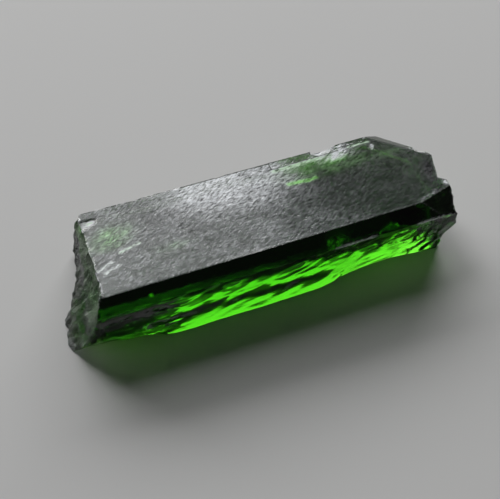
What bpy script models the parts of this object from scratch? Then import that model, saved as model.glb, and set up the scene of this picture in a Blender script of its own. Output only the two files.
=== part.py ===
"""A broken single crystal of green diopside, lying on one of its long prism faces.

The crystal is one solid. Its long axis runs along +X, +Z is up, and the origin is at the
middle of the underside of its bounding box. Flat prism faces run the whole length: the top,
the rest face, the front shoulder and the leaning back. Both ends, the lower front, the foot of the
back and several edges are broken surfaces.

Lengths in this script are millimetres; each mesh is scaled to metres as it is made.
"""
import math

import bmesh
import bpy
from mathutils import Matrix, Vector, noise

MM = 0.001
NODE = "diopside_crystal"
UP = Vector((0.0, 0.0, 1.0))

# ---- driving dimensions -----------------------------------------------------------------
LENGTH = 20.0
WIDTH = 6.8
HEIGHT = 3.5

FRONT_Y = -WIDTH / 2                # the ridge between the front shoulder and the front face
SHOULDER = 0.66                     # the front shoulder is this wide and this high, at 45 degrees
FRONT_RIDGE_Z = HEIGHT - SHOULDER
FRONT_RIBS = ((0.0, 0.06), (0.9, -0.03), (1.45, 0.09), (2.2, 0.01), (FRONT_RIDGE_Z, 0.0))
                                    # height, and how far the front stands back there
FRONT_FOOT_INSET = 0.24             # how far the foot stands back at the right, past the ribs
RIB_WANDER = 0.22                   # how far the ribs rise and fall along the crystal
BACK_Y = WIDTH / 2                  # the ridge between the leaning back face and its foot
BACK_RIDGE_Z = 0.55
BACK_FOOT_INSET = 0.12              # how far the foot stands back from that ridge
BACK_LEAN = math.tan(math.radians(17.1))
BACK_TOP_Y = BACK_Y - (HEIGHT - BACK_RIDGE_Z) * BACK_LEAN
NARROWING = math.tan(math.radians(1.2))     # the back side draws in this much towards +X

LEFT_X = -7.8                       # left break: its top edge at the back of the crystal
LEFT_SKEW = 0.08                    # mm further left for each mm towards the front
LEFT_BULGE = 1.6                    # how far the lower front of the break stands out
RIGHT_X = 9.9                       # right break: its reach at the top
RIGHT_FOOT_INSET = 0.6              # how far its foot stands back from that
RIGHT_NOTCH_Y = -1.5                # where the re-entrant step of the right break lies
RIGHT_NOTCH_DEPTH = 0.35
RIGHT_LOWER_X = 9.5                 # the plain wall under the notch and the corner chip

SURFACE_CELL = 0.30                 # grid size of the broken surfaces
CUTTER_REACH = 4.0                  # how far a cutter reaches out beyond the crystal
SPARE = 0.75                        # how far the unbroken block stands out past each end


# ---- small helpers ----------------------------------------------------------------------
def smooth_step(low, high, value):
    """0 at low, 1 at high, with a soft start and end; low may be above high."""
    t = min(1.0, max(0.0, (value - low) / (high - low)))
    return t * t * (3.0 - 2.0 * t)


def hump(centre, half_width, value):
    """1 at the centre, fading smoothly past the half width."""
    return math.exp(-((value - centre) / half_width) ** 2)


def grain(a, b, seed):
    """Smooth noise between about -1 and 1 over a surface."""
    return noise.noise(Vector((a, b, 17.3 * seed)))


def hackle(a, b, seed):
    """Angular noise between about -1 and 1: flat splinters that meet in sharp lines."""
    place = Vector((a, b, 17.3 * seed))
    return 1.0 - 2.0 * abs(noise.noise(place)) - 0.6 * abs(noise.noise(place * 2.1))


def new_mesh_object(name, bm, collection):
    """Makes a closed mesh with its faces pointing out into an object, in metres."""
    if bm.calc_volume(signed=True) < 0.0:
        bmesh.ops.reverse_faces(bm, faces=bm.faces)
    bmesh.ops.scale(bm, vec=Vector((MM, MM, MM)), verts=bm.verts)
    mesh = bpy.data.meshes.new(name)
    bm.to_mesh(mesh)
    bm.free()
    obj = bpy.data.objects.new(name, mesh)
    collection.objects.link(obj)
    return obj


# ---- the prism with its flat faces ---------------------------------------------------------
def cleave(bm, point, facing):
    """Cuts the solid along a plane, keeps the side behind it and closes the cut."""
    geometry = bm.verts[:] + bm.edges[:] + bm.faces[:]
    cut = bmesh.ops.bisect_plane(bm, geom=geometry, plane_co=point, plane_no=facing,
                                 clear_outer=True, dist=1e-6)
    rim = [item for item in cut["geom_cut"] if isinstance(item, bmesh.types.BMEdge)]
    bmesh.ops.holes_fill(bm, edges=rim)


def make_prism(collection):
    """The top, the rest face and the shoulders; the rest of the block stands proud."""
    bm = bmesh.new()
    bmesh.ops.create_cube(bm, size=1.0)
    block = Vector((LENGTH + 2 * SPARE, WIDTH + 2 * SPARE, HEIGHT))
    bmesh.ops.scale(bm, vec=block, verts=bm.verts)
    bmesh.ops.translate(bm, vec=UP * (HEIGHT / 2), verts=bm.verts)
    cleave(bm, Vector((0.0, FRONT_Y + SHOULDER, HEIGHT)), Vector((0.0, -1.0, 1.0)))
    cleave(bm, Vector((0.0, BACK_TOP_Y - 0.04, HEIGHT)), Vector((NARROWING, 1.0, 0.8)))
    return new_mesh_object(NODE, bm, collection)


# ---- broken surfaces ------------------------------------------------------------------------
def profile_depth(profile, z):
    """Reads a depth off a list of (height, depth) corners, straight between them."""
    for (low, low_depth), (high, high_depth) in zip(profile, profile[1:]):
        if z <= high:
            break
    return low_depth + (high_depth - low_depth) * (z - low) / (high - low)


def front_surface(x, z):
    """The front: two long ribs, one above the other, and an undercut towards the left end."""
    below_ridge = smooth_step(FRONT_RIDGE_Z + 0.05, FRONT_RIDGE_Z - 0.5, z)
    height = z / FRONT_RIDGE_Z
    ribbed = profile_depth(FRONT_RIBS, z - below_ridge * RIB_WANDER * grain(x * 0.22, 0.0, 3))
    plain = FRONT_FOOT_INSET * (1.0 - height)
    depth = plain + (ribbed - plain) * smooth_step(4.5, 2.5, x)
    depth += 0.38 * hump(6.2, 2.8, x) * (1.0 - height)
    depth += 0.75 * smooth_step(-4.6, -8.8, x) * max(0.0, 1.0 - z / 1.6)
    depth += below_ridge * 0.06 * grain(x * 0.55, z * 1.5, 1)
    depth += below_ridge * 0.03 * hackle(x * 0.9, z * 2.6, 2)
    return Vector((x, FRONT_Y + depth, z))


def back_surface(x, z):
    """The back: a leaning prism face over a rough foot that draws in a little."""
    depth = NARROWING * x
    if z > BACK_RIDGE_Z:
        depth += (z - BACK_RIDGE_Z) * BACK_LEAN
    else:
        depth += (1.0 - z / BACK_RIDGE_Z) * BACK_FOOT_INSET
    rough = smooth_step(BACK_RIDGE_Z + 0.2, BACK_RIDGE_Z - 0.3, z)
    depth += (0.02 + 0.08 * rough) * (0.3 + grain(x * 0.55, z * 1.2, 5))
    depth += (0.012 + 0.050 * rough) * hackle(x * 1.1, z * 1.9, 6)
    return Vector((x, BACK_Y - depth, z))


def left_surface(y, z):
    """The left break: hackly, leaning, and standing out at its lower front."""
    to_front = BACK_TOP_Y + 0.3 - y
    low = max(0.0, 1.0 - z / HEIGHT)
    x = LEFT_X - LEFT_SKEW * to_front
    x -= (0.30 + LEFT_BULGE * smooth_step(0.2, 4.8, to_front)) * low ** 1.15
    x -= 0.35 * smooth_step(-2.2, -3.0, y) * (1.0 - low)
    rough = 0.25 + 0.75 * low
    x += rough * (0.26 * grain(y * 0.9, z * 0.9, 8) + 0.22 * hackle(y * 1.2, z * 1.5, 9))
    return Vector((x, y, z))


def right_surface(y, z):
    """The right break: cleavage steps, with a re-entrant notch and a receding foot."""
    if y > 0.0:
        x = RIGHT_X - 0.30 * y
    elif y > RIGHT_NOTCH_Y:
        x = RIGHT_X + RIGHT_NOTCH_DEPTH * y / -RIGHT_NOTCH_Y
    else:
        x = RIGHT_X - RIGHT_NOTCH_DEPTH * smooth_step(RIGHT_NOTCH_Y - 0.3, RIGHT_NOTCH_Y, y)
    foot_x = x - RIGHT_FOOT_INSET * smooth_step(2.1, 1.1, z)
    wall_x = x + (RIGHT_LOWER_X - x) * smooth_step(2.2, 1.7, z)
    x = foot_x + (wall_x - foot_x) * smooth_step(RIGHT_NOTCH_Y - 0.6, RIGHT_NOTCH_Y, y)
    inner = smooth_step(HEIGHT, HEIGHT - 0.8, z)
    x -= inner * 0.15 * (0.4 + grain(y * 0.7 + 3.0, z * 0.9, 10))
    x -= (0.4 + 0.6 * inner) * 0.06 * (1.0 - hackle(y * 1.1, z * 1.4, 11))
    return Vector((x, y, z))


def surface_cutter(name, collection, span_a, span_b, surface, outward):
    """A closed block whose inner side is surface(a, b) and whose outer side clears the crystal."""
    width_a = span_a[1] - span_a[0]
    width_b = span_b[1] - span_b[0]
    bm = bmesh.new()
    bmesh.ops.create_grid(bm, x_segments=round(width_a / SURFACE_CELL),
                          y_segments=round(width_b / SURFACE_CELL), size=0.5)
    inner = bm.verts[:]
    extruded = bmesh.ops.extrude_face_region(bm, geom=bm.faces[:])
    outer = [item for item in extruded["geom"] if isinstance(item, bmesh.types.BMVert)]
    for verts, reach in ((inner, 0.0), (outer, CUTTER_REACH)):
        for vert in verts:
            a = span_a[0] + (vert.co.x + 0.5) * width_a
            b = span_b[0] + (vert.co.y + 0.5) * width_b
            vert.co = surface(a, b) + reach * outward
    return new_mesh_object(name, bm, collection)


def make_surface_cutters(collection):
    along = (-LENGTH / 2 - 1.0, LENGTH / 2 + 1.0)
    across = (-WIDTH / 2 - 0.8, WIDTH / 2 + 0.8)
    upright = (-0.45, HEIGHT + 0.45)
    return (
        surface_cutter("cut_front", collection, along, upright, front_surface,
                       Vector((0.0, -1.0, 0.0))),
        surface_cutter("cut_back", collection, along, upright, back_surface,
                       Vector((0.0, 1.0, 0.0))),
        surface_cutter("cut_left", collection, across, upright, left_surface,
                       Vector((-1.0, 0.0, 0.0))),
        surface_cutter("cut_right", collection, across, upright, right_surface,
                       Vector((1.0, 0.0, 0.0))),
    )


# ---- flat facets, chips and nicks -----------------------------------------------------------
def facet_cutter(name, collection, corner, facing, along, size):
    """A box standing on the facet that it cuts.

    The box's floor starts at corner, looks towards facing and runs size[0] along the given
    direction. size[1] is the floor's width, counted to the left of that direction as seen
    from above the floor, and size[2] is the height of the box.
    """
    z_axis = Vector(facing).normalized()
    x_axis = (Vector(along) - Vector(along).dot(z_axis) * z_axis).normalized()
    axes = Matrix((x_axis, z_axis.cross(x_axis), z_axis)).transposed().to_4x4()
    bm = bmesh.new()
    bmesh.ops.create_cube(bm, size=1.0)
    bmesh.ops.translate(bm, vec=Vector((0.5, 0.5, 0.5)), verts=bm.verts)
    bmesh.ops.scale(bm, vec=Vector(size), verts=bm.verts)
    bmesh.ops.transform(bm, matrix=Matrix.Translation(Vector(corner)) @ axes, verts=bm.verts)
    return new_mesh_object(name, bm, collection)


def make_facet_cutters(collection):
    """Cleavage facets at the right end, and the narrow ledges along the back edge."""
    ledge_facing = (0.0, 0.0, 1.0)
    return (
        facet_cutter("cut_back_right_slope", collection, (7.2, 2.35, HEIGHT),
                     (0.40, 0.45, 1.0), (1.0, -0.89, 0.0), (4.0, 2.0, 2.0)),
        facet_cutter("cut_back_right_corner", collection, (10.26, 0.415, -0.2),
                     (0.85, 0.80, 0.12), (-0.80, 0.85, 0.0), (5.0, 6.0, 2.0)),
        facet_cutter("cut_front_right_corner", collection, (7.6, -2.92, HEIGHT),
                     (0.50, -1.57, 2.20), (1.0, 0.32, 0.0), (3.5, -2.5, 2.0)),
        facet_cutter("cut_back_ledge_long", collection, (2.1, 1.93, HEIGHT - 0.05),
                     ledge_facing, (1.0, 0.01, 0.0), (3.5, 1.6, 1.0)),
        facet_cutter("cut_back_ledge_short", collection, (5.6, 2.12, HEIGHT - 0.05),
                     ledge_facing, (1.0, 0.0, 0.0), (1.6, 1.6, 1.0)),
    )


def chip_cutter(name, collection, centre, radii, turn_deg, seed):
    """A lumpy lens that leaves a small conchoidal chip."""
    bm = bmesh.new()
    bmesh.ops.create_icosphere(bm, subdivisions=3, radius=1.0)
    for vert in bm.verts:
        vert.co *= 1.0 + 0.25 * noise.noise(vert.co * 1.9 + UP * 17.3 * seed)
    bmesh.ops.scale(bm, vec=Vector(radii), verts=bm.verts)
    turn = Matrix.Rotation(math.radians(turn_deg), 4, "Z")
    bmesh.ops.transform(bm, matrix=Matrix.Translation(Vector(centre)) @ turn, verts=bm.verts)
    return new_mesh_object(name, bm, collection)


def make_chip_cutters(collection):
    """Chips along the edges: centre, radii, turn about Z, noise seed."""
    chips = {
        "cut_chip_back_notch": ((5.0, 2.50, 3.62), (0.80, 0.55, 0.50), 4.0, 21),
        "cut_chip_back_middle": ((-0.4, 2.88, 3.62), (0.95, 0.45, 0.45), -6.0, 22),
        "cut_chip_back_left": ((-5.2, 2.95, 3.60), (1.10, 0.42, 0.50), -4.0, 29),
        "cut_chip_left_top": ((-7.65, 1.85, 3.64), (0.85, 0.42, 0.22), 12.0, 23),
        "cut_chip_left_corner": ((-8.66, -2.42, 3.60), (0.45, 0.40, 0.34), 18.0, 24),
        "cut_chip_right_top": ((9.45, 0.62, 3.45), (0.42, 0.26, 0.26), -45.0, 25),
        "cut_chip_right_foot": ((9.42, -3.38, 0.12), (0.60, 0.50, 0.62), 20.0, 26),
        "cut_chip_foot_left": ((-6.7, -3.10, -0.10), (1.60, 0.50, 0.38), 4.0, 27),
        "cut_chip_foot_back": ((5.0, 3.00, -0.05), (2.00, 0.75, 0.42), -3.0, 28),
    }
    return tuple(chip_cutter(name, collection, *values) for name, values in chips.items())


def make_nick_cutters(collection):
    """Two small upright V-shaped nicks in the lower front edge: x, y of the inner corner."""
    nicks = {"cut_nick_middle": (3.85, -2.92), "cut_nick_right": (7.50, -2.80)}
    return tuple(facet_cutter(name, collection, (x, y, -0.3), UP, (1.0, -2.2, 0.0),
                              (1.2, -1.2, 0.85)) for name, (x, y) in nicks.items())


# ---- assembly -------------------------------------------------------------------------------
def crystal_material():
    """Deep glassy green."""
    material = bpy.data.materials.new("diopside")
    material.use_nodes = True
    shader = material.node_tree.nodes["Principled BSDF"]
    shader.inputs["Base Color"].default_value = (0.02, 0.16, 0.03, 1.0)
    shader.inputs["Roughness"].default_value = 0.08
    shader.inputs["Metallic"].default_value = 0.0
    shader.inputs["IOR"].default_value = 1.68
    return material


def cut_away(obj, cutters):
    """Takes each cutter away from the crystal, in order."""
    for cutter in cutters:
        cutter.display_type = "WIRE"
        cutter.hide_render = True
        modifier = obj.modifiers.new(cutter.name, "BOOLEAN")
        modifier.operation = "DIFFERENCE"
        modifier.solver = "EXACT"
        modifier.object = cutter


def centre_on_origin(crystal, cutters):
    """Hangs everything on an empty that puts the bounding box's foot on the origin."""
    bpy.context.view_layer.update()
    evaluated = crystal.evaluated_get(bpy.context.evaluated_depsgraph_get())
    corners = [Vector(corner) for corner in evaluated.bound_box]
    low = Vector(tuple(min(corner[i] for corner in corners) for i in range(3)))
    high = Vector(tuple(max(corner[i] for corner in corners) for i in range(3)))
    origin = bpy.data.objects.new("crystal_origin", None)
    origin.empty_display_size = MM
    crystal.users_collection[0].objects.link(origin)
    origin.location = (-(low.x + high.x) / 2, -(low.y + high.y) / 2, -low.z)
    for obj in (crystal,) + cutters:
        obj.parent = origin


def main():
    for obj in list(bpy.data.objects):
        bpy.data.objects.remove(obj)
    crystal_collection = bpy.data.collections.new(NODE)
    cutter_collection = bpy.data.collections.new("cutters")
    for collection in (crystal_collection, cutter_collection):
        bpy.context.scene.collection.children.link(collection)

    crystal = make_prism(crystal_collection)
    crystal.data.materials.append(crystal_material())
    cutters = (make_surface_cutters(cutter_collection)
               + make_facet_cutters(cutter_collection)
               + make_chip_cutters(cutter_collection)
               + make_nick_cutters(cutter_collection))
    cut_away(crystal, cutters)
    centre_on_origin(crystal, cutters)


main()
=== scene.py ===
"""Looks of the broken green diopside crystal: its fine surface, its material, floor, lights and camera."""
import math
from types import SimpleNamespace

import bpy
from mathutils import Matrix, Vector, noise


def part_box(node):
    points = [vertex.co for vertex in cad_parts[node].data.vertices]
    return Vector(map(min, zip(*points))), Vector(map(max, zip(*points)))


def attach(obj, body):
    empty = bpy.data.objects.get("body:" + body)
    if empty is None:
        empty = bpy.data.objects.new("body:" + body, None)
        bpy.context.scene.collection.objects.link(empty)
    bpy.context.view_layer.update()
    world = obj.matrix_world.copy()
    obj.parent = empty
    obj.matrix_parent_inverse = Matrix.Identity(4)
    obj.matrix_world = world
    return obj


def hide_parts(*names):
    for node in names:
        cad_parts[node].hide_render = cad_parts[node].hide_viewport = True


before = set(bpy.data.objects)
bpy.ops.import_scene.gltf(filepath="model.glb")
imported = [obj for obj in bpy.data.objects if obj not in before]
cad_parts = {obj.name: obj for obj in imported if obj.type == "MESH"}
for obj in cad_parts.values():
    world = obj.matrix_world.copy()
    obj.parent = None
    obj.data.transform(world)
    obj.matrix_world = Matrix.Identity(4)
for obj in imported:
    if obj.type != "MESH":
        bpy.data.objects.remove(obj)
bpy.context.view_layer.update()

MM = 0.001
NODE = "diopside_crystal"
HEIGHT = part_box(NODE)[1].z / MM

IOR = 1.68                            # diopside
GLASS_GREEN = (0.31, 0.65, 0.0, 1.0)  # what the clear green body lets through
DEPTH_OF_GREEN = 890.0                # how fast it darkens, per metre
SMOOTHEST, ROUGHEST = 0.02, 0.45      # roughness where the frost is 0 and where it is 1
ETCH_DEPTH = 0.020 * MM
ETCH_LINES = ((4.0, 0.30, 0.10), (36.0, 0.40, 0.09))  # turn in degrees, length, width in mm
TRIM_ANGLE = math.radians(25.0)       # edges sharper than this stay crisp
WELD = 0.0005 * MM

FLOOR_GREY = (0.62, 0.62, 0.615, 1.0)
FLOOR_DROP = 0.03 * MM                # the floor lies just under the crystal
ROOM_LIGHT = 0.02

# Lamps: name, azimuth from +Y towards +X, elevation, distance, size and radiance.
LAMPS = (
    ("key", 8.0, 25.5, 400.0, (600.0, 145.0), 8.2),
    ("halo", 16.0, 40.0, 420.0, (150.0, 64.0), 0.6),
    ("sheen", -12.0, 48.0, 400.0, (130.0, 140.0), 6.0),
)
LAMP_AIM = (0.0, 0.0, 2.0)

CAMERA_ELEVATION = math.radians(50.0)
CAMERA_TURN = math.radians(21.4)
CAMERA_DISTANCE = 110.0
CAMERA_AIM = (0.379, 0.237, 0.0)
CAMERA_LENS = 158.4


def deselect_all():
    bpy.ops.object.select_all(action="DESELECT")


def make_active(obj):
    deselect_all()
    obj.select_set(True)
    bpy.context.view_layer.objects.active = obj


def in_edit_mode(obj, *actions):
    make_active(obj)
    bpy.ops.object.mode_set(mode="EDIT")
    bpy.ops.mesh.select_all(action="SELECT")
    for action in actions:
        action()
    bpy.ops.object.mode_set(mode="OBJECT")


# ---- small helpers ---------------------------------------------------------------------------
def smooth_step(low, high, value):
    """0 at low, 1 at high, with a soft start and end; low may be above high."""
    t = min(1.0, max(0.0, (value - low) / (high - low)))
    return t * t * (3.0 - 2.0 * t)


def hump(centre, half_width, value):
    """1 at the centre, fading smoothly past the half width."""
    return math.exp(-((value - centre) / half_width) ** 2)


def grain(a, b, seed):
    """Soft noise from about -1 to 1, with lumps about 1 wide."""
    return noise.noise(Vector((a, b, 7.31 * seed)))


def streak(x, y, start, end, half_width):
    """1 on the straight line from start to end, fading smoothly past the half width."""
    run = (end[0] - start[0], end[1] - start[1])
    t = ((x - start[0]) * run[0] + (y - start[1]) * run[1]) / (run[0] ** 2 + run[1] ** 2)
    t = min(1.0, max(0.0, t))
    distance = math.hypot(x - start[0] - t * run[0], y - start[1] - t * run[1])
    return math.exp(-(distance / half_width) ** 2)


def steps(value, riser):
    """A slope made of treads and short risers: 0 to 1 in each unit, falling back at its end."""
    t = value - math.floor(value)
    return min(t / (1.0 - riser), (1.0 - t) / riser)


# ---- crystal ---------------------------------------------------------------------------------
def crystal_blank():
    """A welded copy of the crystal's solid, remeshed evenly with its edges kept sharp."""
    make_active(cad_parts[NODE])
    bpy.ops.object.duplicate()
    blank = bpy.context.object
    blank.name = "crystal"
    blank.parent = None
    in_edit_mode(blank, lambda: bpy.ops.mesh.remove_doubles(threshold=WELD))
    remesh = blank.modifiers.new("even_mesh", "REMESH")
    remesh.mode = "SHARP"
    remesh.octree_depth = 8
    remesh.scale = 0.95
    remesh.sharpness = 1.0
    remesh.use_remove_disconnected = False
    bpy.ops.object.modifier_apply(modifier=remesh.name)
    return blank


def soften_breaks(crystal):
    """Rounds off the facets that the solid's coarse mesh leaves on the broken surfaces."""
    make_active(crystal)
    for vertex in crystal.data.vertices:
        place, facing = vertex.co / MM, vertex.normal
        on_front = facing.y < -0.85 and 0.12 < place.z < 2.70
        on_back = facing.y > 0.80 and 0.12 < place.z < 3.35
        on_end = abs(facing.x) > 0.75 and 0.12 < place.z < 3.30
        vertex.select = on_front or on_back or on_end
    bpy.ops.object.mode_set(mode="EDIT")
    bpy.ops.mesh.vertices_smooth(factor=0.5, repeat=8)
    bpy.ops.object.mode_set(mode="OBJECT")


def rib_wander(x):
    """How far the front's ribs rise or fall at this place along the crystal."""
    return 0.22 * noise.noise(Vector((x * 0.22, 0.0, 17.3 * 3)))


def front_relief(x, z):
    """Cleavage steps across the front's two ribs: fine in the middle, coarser at both ends."""
    middle = smooth_step(-5.2, -4.0, x) * smooth_step(4.5, 2.5, x)
    height = z - rib_wander(x)
    relief = -0.022 * middle * hump(1.30, 0.20, height)
    along, across = 0.93 * x + 0.36 * z, 0.93 * z - 0.36 * x
    broken = 0.8 + middle * hump(1.20, 0.35, height) + smooth_step(2.4, 4.0, x)
    relief += 0.026 * broken * grain(along * 0.6, across * 2.4, 22)
    relief += 0.006 * broken * grain(x * 1.3, z * 6.0, 23)
    relief += 0.012 * steps(across * 1.7 + 0.5 * grain(x * 0.6, z * 0.8, 24), 0.2)
    wavy = 0.6 * grain(x * 0.5, z * 1.2, 25)
    right_steps = steps(wavy - x * 1.6 + z * 0.9, 0.15)
    relief += 0.08 * smooth_step(6.9, 7.8, x) * smooth_step(2.6, 2.1, z) * right_steps
    left_steps = steps(wavy - z * 2.2 + x * 0.15, 0.2)
    relief += 0.13 * smooth_step(-3.9, -5.6, x) * smooth_step(2.8, 2.3, z) * left_steps
    return relief


def top_relief(x, y):
    """A nearly flat face with a faint swell and a fine slanting hatch."""
    relief = 0.020 * grain(x * 0.16, y * 0.35, 31)
    relief += 0.003 * grain(x * 0.6, y * 5.0, 32)
    along, across = 0.81 * x + 0.59 * y, 0.81 * y - 0.59 * x
    hatch = 0.005 * grain(along * 1.8, across * 5.0, 33)
    return relief + hatch * (0.25 + 0.75 * smooth_step(3.0, -1.0, x))


# Painted highlights and glints on the top, and a few pale scratches: start, end, half width, how pale, how
# green.
TOP_GLINTS_AND_SCRATCHES = (
    ((2.25, 1.78), (3.50, 1.80), 0.10, 1.5, 0.45),
    ((3.50, 1.80), (4.77, 1.81), 0.09, 1.3, 0.45),
    ((6.29, 1.94), (7.37, 1.91), 0.06, 0.7, 0.35),
    ((2.62, 0.70), (3.10, 0.67), 0.10, 0.9, 1.0),
    ((3.10, 0.67), (3.60, 0.60), 0.09, 0.9, 1.0),
    ((3.60, 0.60), (4.05, 0.63), 0.08, 0.6, 1.0),
    ((-6.58, -0.43), (-5.95, -0.27), 0.06, 0.8, 0.3),
    ((-5.80, -0.22), (-5.45, -0.15), 0.06, 0.8, 0.3),
    ((-7.92, -1.16), (-7.12, -0.82), 0.06, 0.8, 0.1),
    ((-7.62, -1.40), (-6.82, -1.13), 0.06, 0.8, 0.1),
    ((-8.30, -2.30), (-8.20, -2.15), 0.13, 1.0, 0.0),
    ((8.20, -2.66), (8.50, -2.52), 0.05, 0.35, 0.0),
    ((8.66, -2.50), (8.85, -2.42), 0.05, 0.3, 0.0),
    ((8.98, -2.40), (9.15, -2.28), 0.05, 0.35, 0.0),
    ((7.36, 1.45), (7.44, 1.62), 0.07, 1.0, 0.0),
    ((9.85, -1.95), (9.98, -1.80), 0.12, 1.0, 0.0),
)

# Painted green glow of light inside the stone, seen under the top: centre, reach along and across, how
# pale.
TOP_GREEN_GLOWS = (
    ((5.4, 1.05), (1.4, 0.40), 0.14),
    ((3.6, 1.25), (1.3, 0.45), 0.10),
    ((-6.5, 0.75), (0.9, 0.50), 0.25),
    ((-7.1, 0.20), (0.7, 0.30), 0.15),
    ((-4.1, -0.95), (0.7, 0.22), 0.12),
    ((8.1, 0.90), (0.9, 0.30), 0.04),
)


def top_skin_and_painted_light(x, y):
    """How pale the etched skin of the top is, with its painted sheen, highlights, glints and glow, and how
    much of that is green.

    The left and middle are pale, with a painted sheen palest at the back-middle, and the right third is
    clear.
    """
    # paler towards the left and middle: partly frosted skin, partly painted sheen
    bloom_and_painted_light = 0.05 + 0.15 * smooth_step(5.5, -0.5, x + 0.6 * y)
    # painted sheen: the back-middle of the top is made paler, as a glossy reflection would
    back = smooth_step(-0.8, 2.2, y + 0.15 * x)
    back *= smooth_step(-5.0, -1.5, x) * smooth_step(4.2, 1.0, x)
    bloom_and_painted_light += 0.52 * back
    bloom_and_painted_light *= 1.0 + 0.45 * grain(x * 0.9, y * 1.6, 34)
    green = 0.0
    # painted highlights and glints on the top, and a few pale scratches
    for start, end, half_width, strength, share in TOP_GLINTS_AND_SCRATCHES:
        glint_or_scratch = strength * streak(x, y, start, end, half_width)
        bloom_and_painted_light += glint_or_scratch
        green += glint_or_scratch * share
    # painted green glow seen under the top
    for centre, reach, strength in TOP_GREEN_GLOWS:
        wisps = 1.0 + 1.2 * grain(0.9 * x + 0.6 * y, 3.5 * y - 1.6 * x, 36)
        glow = strength * wisps * hump(centre[0], reach[0], x) * hump(centre[1], reach[1], y)
        bloom_and_painted_light += glow
        green += glow
    return bloom_and_painted_light, green / bloom_and_painted_light


def splintered(x, y):
    """How white the splintered patch beside the back notch is: slanting fibres, thinning forward."""
    patch = 1.2 * hump(5.45, 0.70, x) * smooth_step(1.2, 1.6, y)
    along, across = 0.77 * x + 0.64 * y, 0.77 * y - 0.64 * x
    return patch * smooth_step(-0.45, 0.15, grain(along * 1.2, across * 5.0, 35))


def back_relief(x, z):
    """Faint ribs along the back, and a rough left third."""
    relief = 0.006 * grain(x * 0.4, z * 3.5, 41)
    return relief + smooth_step(-3.2, -4.4, x) * 0.02 * grain(x * 1.4, z * 3.0, 42)


def corner_relief(x, y, z):
    """Cleavage steps down the facet across the back right corner."""
    wander = 1.3 * grain(y * 0.8, z * 0.9, 63) + 0.4 * grain(y * 2.4, z * 1.6, 64)
    return 0.10 * smooth_step(2.9, 2.4, z) * steps(wander + (x - y) / 0.8, 0.2)


def end_relief(y, z, seed):
    """A hackly break: short upright splinters and pits between them."""
    relief = 0.10 * grain(y * 2.2, z * 1.2, seed) + 0.10 * grain(y * 4.5, z * 2.0, seed + 1)
    return relief + 0.08 * grain(y * 7.0, z * 3.0, seed + 2)


def surface_kind(x, y, z, normal):
    """How much this place belongs to each face, edge and chip of the crystal, from 0 to 1."""
    kind = SimpleNamespace()
    kind.top = smooth_step(0.96, 0.99, normal.z)
    kind.front = smooth_step(0.80, 0.92, -normal.y)
    kind.back = smooth_step(0.75, 0.90, normal.y)
    kind.left = smooth_step(0.35, 0.65, -normal.x)
    kind.right = smooth_step(0.35, 0.65, normal.x)
    kind.corner = smooth_step(0.60, 0.66, normal.x) * smooth_step(0.60, 0.66, normal.y)
    kind.shoulder = smooth_step(0.6, 0.68, -normal.y) * smooth_step(0.6, 0.68, normal.z)
    kind.slope = smooth_step(0.6, 0.8, normal.z) * (1.0 - kind.top) * (1.0 - kind.shoulder)
    kind.notch = hump(5.0, 0.9, x) * hump(2.3, 0.6, y) * smooth_step(3.47, 3.40, z)
    kind.left_chip = hump(-7.2, 0.6, x) * hump(1.8, 0.45, y) * smooth_step(3.49, 3.44, z)
    kind.corner_chip = hump(9.4, 0.5, x) * hump(0.55, 0.5, y) * smooth_step(3.47, 3.40, z)
    kind.ridge = smooth_step(0.5, 0.8, -normal.y)
    return kind


def surface_relief(kind, x, y, z):
    """How far the surface stands out here; each face has its own pattern."""
    off_floor = smooth_step(0.0, 0.25, z)
    relief = 0.0
    if kind.top > 0.0:
        relief += kind.top * top_relief(x, y)
    if kind.front > 0.0:
        relief += kind.front * off_floor * front_relief(x, z)
    if kind.back > 0.0:
        relief += kind.back * off_floor * back_relief(x, z)
    if kind.left > 0.0:
        relief += kind.left * off_floor * end_relief(y, z, 51)
    if kind.right > 0.0:
        relief += (1.0 - kind.corner) * kind.right * off_floor * 0.1 * end_relief(y, z, 61)
    if kind.corner > 0.0:
        relief += kind.corner * off_floor * corner_relief(x, y, z)
    return relief


def chip_lift(x, y, z):
    """Fills most of the hollow of the chip at the back left corner."""
    place = hump(-7.2, 0.9, x) * hump(1.8, 0.6, y) * smooth_step(3.1, 3.3, z)
    return 0.6 * place * max(0.0, HEIGHT - z)


def matt_skin(kind, x, y, z):
    """How frosted and how deeply etched the surface is here."""
    pale_part = smooth_step(4.5, -1.0, x)
    top_etch = 0.35 + 0.23 * pale_part
    top_etch *= 1.0 - 0.5 * smooth_step(1.9, 2.2, y) * smooth_step(-1.0, -3.0, x)
    chips = kind.notch + kind.left_chip + kind.corner_chip
    frost = ((0.20 + 0.38 * pale_part) * kind.top + 0.15 * kind.front + 0.06 * kind.back
             + 0.12 * kind.left + 0.1 * kind.right + 0.2 * kind.slope + chips)
    etch = (top_etch * kind.top + 0.3 * kind.front * smooth_step(1.6, 1.1, z)
            + 0.06 * kind.back + 2.4 * kind.left + 0.1 * kind.right + 0.5 * kind.slope
            + 0.1 * kind.shoulder + chips)
    return min(1.0, frost), etch


def back_crust_and_shade(x, z):
    """The dull, dark skin on the left part and the foot of the back, with a ragged edge: painted shade
    that darkens the green seen through the left part and the foot.
    """
    ragged = 0.35 * grain(x * 0.8, z * 0.9, 45) + 0.15 * grain(x * 2.5, z * 2.5, 46)
    foot = smooth_step(1.10, 0.80, z + 0.6 * ragged) * smooth_step(7.4, 5.8, x + 2.0 * ragged)
    crust_and_shade = max(smooth_step(-4.6, -5.6, x + 1.5 * ragged), foot)
    return crust_and_shade * (0.75 + 0.5 * grain(x * 1.3, z * 1.6, 44)) * smooth_step(3.1, 2.6, z + ragged)


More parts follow.
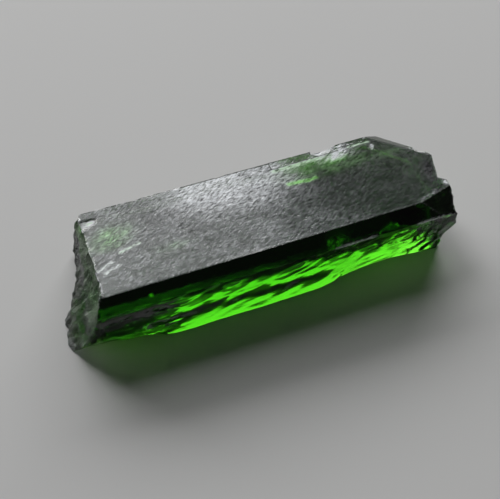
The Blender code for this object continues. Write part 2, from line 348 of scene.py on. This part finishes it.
def coloured_skin(kind, x, y, z):
    """How pale the surface is here, painted highlights, sheen, glow and shade included, and its tint: 0
    green, 0.5 pale, 1 dark.
    """
    pale, green, splinters = 0.0, 0.0, 0.0
    if kind.top > 0.0:
        pale, green = top_skin_and_painted_light(x, y)
        splinters = splintered(x, y)
        green *= 1.0 - splinters
    crust_and_shade = back_crust_and_shade(x, z)
    # painted highlight: pale lines along the ridge between the front and the shoulder
    ridge_highlight = smooth_step(3.3, 3.6, x) * smooth_step(5.7, 5.4, x) + smooth_step(7.6, 7.9, x)
    ridge_highlight *= hump(2.80, 0.06, z) * kind.ridge
    # painted glow: the upper part of the left end is tinted pale green, as if lit through the stone
    upper_left_glow = kind.left * smooth_step(1.6, 2.4, z)
    # pale share: frosted and chipped skin, with painted highlights, sheen, glow and shade among it
    bloom_and_painted_light = (kind.top * (pale + splinters) + 0.6 * kind.back * crust_and_shade + 0.4 * kind.slope
             + 0.6 * kind.notch + 0.6 * kind.left_chip + 0.5 * kind.corner_chip
             + 0.12 * upper_left_glow + ridge_highlight)
    # green: painted glow on the top's glints and glows, the upper left end and the far right end; the left
    # chip's green is its own
    greenish = (kind.top * green + 0.3 * kind.left_chip + 0.8 * upper_left_glow
                + 0.8 * (kind.front + kind.right) * smooth_step(8.9, 9.3, x))
    # painted shade: the dull skin on the back and the back right slope are tinted dark
    painted_shade = kind.back * smooth_step(0.0, 0.12, crust_and_shade) + kind.slope * (1.0 - 0.5 * kind.notch)
    tint = 0.5 - 0.5 * min(1.0, greenish) + 0.5 * min(1.0, painted_shade)
    return min(1.0, bloom_and_painted_light), tint


def dress_surface(crystal):
    """Gives each kind of surface its fine relief, and notes how matt, etched, pale and green it is, with
    painted highlights, sheen, glow and shade in the pale and green.
    """
    mesh = crystal.data
    for name in ("frost", "etch", "bloom_and_painted_light", "tint"):
        mesh.attributes.new(name, "FLOAT", "POINT")
    frost, etch, bloom_and_painted_light, tint = (mesh.attributes[name] for name in ("frost", "etch", "bloom_and_painted_light", "tint"))
    places = [vertex.co / MM for vertex in mesh.vertices]
    normals = [vertex.normal.copy() for vertex in mesh.vertices]
    for index, (place, normal) in enumerate(zip(places, normals)):
        x, y, z = place
        kind = surface_kind(x, y, z, normal)
        vertex = mesh.vertices[index]
        vertex.co += normal * surface_relief(kind, x, y, z) * MM
        if kind.left_chip > 0.0:
            vertex.co.z += chip_lift(x, y, z) * MM
        frost.data[index].value, etch.data[index].value = matt_skin(kind, x, y, z)
        bloom_and_painted_light.data[index].value, tint.data[index].value = coloured_skin(kind, x, y, z)


# Colours of the skin, for a tint of 0, 0.5 and 1: green, much of it painted glow; pale, partly painted
# sheen and highlights; dark, painted shade.
GREEN_AND_GLOW = (0.28, 0.85, 0.14, 1.0)
PALE = (0.93, 0.96, 1.0, 1.0)
PAINTED_SHADE_DARK = (0.035, 0.055, 0.030, 1.0)


def noted(tree, name):
    """The value that dress_surface has noted on the mesh under this name."""
    note = tree.nodes.new("ShaderNodeAttribute")
    note.attribute_name = name
    return note.outputs["Fac"]


def map_range(tree, value, low, high):
    """A node that maps the value from 0..1 to low..high."""
    span = tree.nodes.new("ShaderNodeMapRange")
    span.inputs["To Min"].default_value = low
    span.inputs["To Max"].default_value = high
    tree.links.new(value, span.inputs["Value"])
    return span


def etch_lines(tree):
    """The sum of two fine noises, drawn out along two directions; about 1 in the middle."""
    place = tree.nodes.new("ShaderNodeTexCoord")
    both = tree.nodes.new("ShaderNodeMath")
    both.operation = "ADD"
    for slot, (turn, length, width) in enumerate(ETCH_LINES):
        stretch = tree.nodes.new("ShaderNodeMapping")
        stretch.vector_type = "TEXTURE"
        stretch.inputs["Rotation"].default_value = (0.0, 0.0, math.radians(turn))
        stretch.inputs["Scale"].default_value = (length * MM, width * MM, width * MM)
        lines = tree.nodes.new("ShaderNodeTexNoise")
        lines.inputs["Scale"].default_value = 1.0
        lines.inputs["Detail"].default_value = 4.0
        lines.inputs["Roughness"].default_value = 0.6
        tree.links.new(place.outputs["Object"], stretch.inputs["Vector"])
        tree.links.new(stretch.outputs["Vector"], lines.inputs["Vector"])
        tree.links.new(lines.outputs["Fac"], both.inputs[slot])
    return both.outputs["Value"]


def skin_colour(tree):
    colour = tree.nodes.new("ShaderNodeValToRGB")
    colour.color_ramp.elements.new(0.5)
    for stop, shade in zip(colour.color_ramp.elements, (GREEN_AND_GLOW, PALE, PAINTED_SHADE_DARK)):
        stop.color = shade
    tree.links.new(noted(tree, "tint"), colour.inputs["Fac"])
    return colour.outputs["Color"]


def etched_normal(tree, lines):
    bump = tree.nodes.new("ShaderNodeBump")
    bump.inputs["Distance"].default_value = ETCH_DEPTH
    tree.links.new(lines, bump.inputs["Height"])
    tree.links.new(noted(tree, "etch"), bump.inputs["Strength"])
    return bump.outputs["Normal"]


def clearness(tree, lines):
    """1 where the surface is clear, less where the pale skin and its painted light lie on it, broken up by
    the lines.
    """
    streaks = map_range(tree, lines, -0.2, 2.2)
    streaks.inputs["From Min"].default_value = 0.7
    streaks.inputs["From Max"].default_value = 1.3
    streaks.clamp = False
    share = tree.nodes.new("ShaderNodeMath")
    share.operation = "MULTIPLY"
    tree.links.new(noted(tree, "bloom_and_painted_light"), share.inputs[0])
    tree.links.new(streaks.outputs["Result"], share.inputs[1])
    clear = tree.nodes.new("ShaderNodeMath")
    clear.operation = "SUBTRACT"
    clear.use_clamp = True
    clear.inputs[0].default_value = 1.0
    tree.links.new(share.outputs["Value"], clear.inputs[1])
    return clear.outputs["Value"]


def crystal_material():
    """Clear green stone: transmission and absorption, under a skin of frost, etching and a pale film that
    carries painted highlights, sheen, glow and shade.
    """
    material = bpy.data.materials.new("diopside")
    material.use_nodes = True
    tree = material.node_tree
    shader = tree.nodes["Principled BSDF"]
    shader.inputs["IOR"].default_value = IOR
    lines = etch_lines(tree)
    roughness = map_range(tree, noted(tree, "frost"), SMOOTHEST, ROUGHEST).outputs["Result"]
    tree.links.new(skin_colour(tree), shader.inputs["Base Color"])
    tree.links.new(roughness, shader.inputs["Roughness"])
    tree.links.new(etched_normal(tree, lines), shader.inputs["Normal"])
    tree.links.new(clearness(tree, lines), shader.inputs["Transmission Weight"])
    volume = tree.nodes.new("ShaderNodeVolumeAbsorption")
    volume.inputs["Color"].default_value = GLASS_GREEN
    volume.inputs["Density"].default_value = DEPTH_OF_GREEN
    tree.links.new(volume.outputs["Volume"], tree.nodes["Material Output"].inputs["Volume"])
    return material


def make_crystal():
    crystal = crystal_blank()
    soften_breaks(crystal)
    dress_surface(crystal)
    crystal.data.materials.clear()
    crystal.data.materials.append(crystal_material())
    make_active(crystal)
    bpy.ops.object.shade_smooth_by_angle(angle=TRIM_ANGLE)
    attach(crystal, "root")
    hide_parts(NODE)


# ---- stage -----------------------------------------------------------------------------------
def make_floor():
    bpy.ops.mesh.primitive_plane_add(size=2.0, location=(0.0, 0.0, -FLOOR_DROP))
    floor = bpy.context.object
    floor.name = "floor"
    material = bpy.data.materials.new("pale_floor")
    material.use_nodes = True
    shader = material.node_tree.nodes["Principled BSDF"]
    shader.inputs["Base Color"].default_value = FLOOR_GREY
    shader.inputs["Roughness"].default_value = 0.9
    floor.data.materials.append(material)


def make_lamp(name, azimuth, elevation, distance, size, radiance):
    """A rectangular lamp; azimuth is counted from +Y towards +X."""
    a, e = math.radians(azimuth), math.radians(elevation)
    away = Vector((math.sin(a) * math.cos(e), math.cos(a) * math.cos(e), math.sin(e)))
    light = bpy.data.lights.new(name, "AREA")
    light.shape = "RECTANGLE"
    light.size = size[0] * MM
    light.size_y = size[1] * MM
    light.energy = radiance * math.pi * light.size * light.size_y
    lamp = bpy.data.objects.new(name, light)
    bpy.context.scene.collection.objects.link(lamp)
    lamp.location = (Vector(LAMP_AIM) + away * distance) * MM
    lamp.rotation_mode = "QUATERNION"
    lamp.rotation_quaternion = away.to_track_quat("Z", "Y")
    lamp.visible_camera = False


def make_lights():
    for lamp in LAMPS:
        make_lamp(*lamp)
    world = bpy.data.worlds.new("studio")
    bpy.context.scene.world = world
    world.use_nodes = True
    background = world.node_tree.nodes["Background"]
    background.inputs["Color"].default_value = (1.0, 1.0, 1.0, 1.0)
    background.inputs["Strength"].default_value = ROOM_LIGHT


def make_camera():
    back = Vector((-math.sin(CAMERA_TURN) * math.cos(CAMERA_ELEVATION),
                   -math.cos(CAMERA_TURN) * math.cos(CAMERA_ELEVATION),
                   math.sin(CAMERA_ELEVATION)))
    camera = bpy.data.cameras.new("camera")
    camera.sensor_width = 36.0
    camera.lens = CAMERA_LENS
    camera.clip_start = 0.001
    holder = bpy.data.objects.new("camera", camera)
    bpy.context.scene.collection.objects.link(holder)
    holder.location = (Vector(CAMERA_AIM) + back * CAMERA_DISTANCE) * MM
    holder.rotation_mode = "QUATERNION"
    holder.rotation_quaternion = (-back).to_track_quat("-Z", "Y")
    bpy.context.scene.camera = holder


def main():
    make_camera()
    make_floor()
    make_lights()
    make_crystal()
    bpy.context.scene.view_settings.view_transform = "Standard"


main()
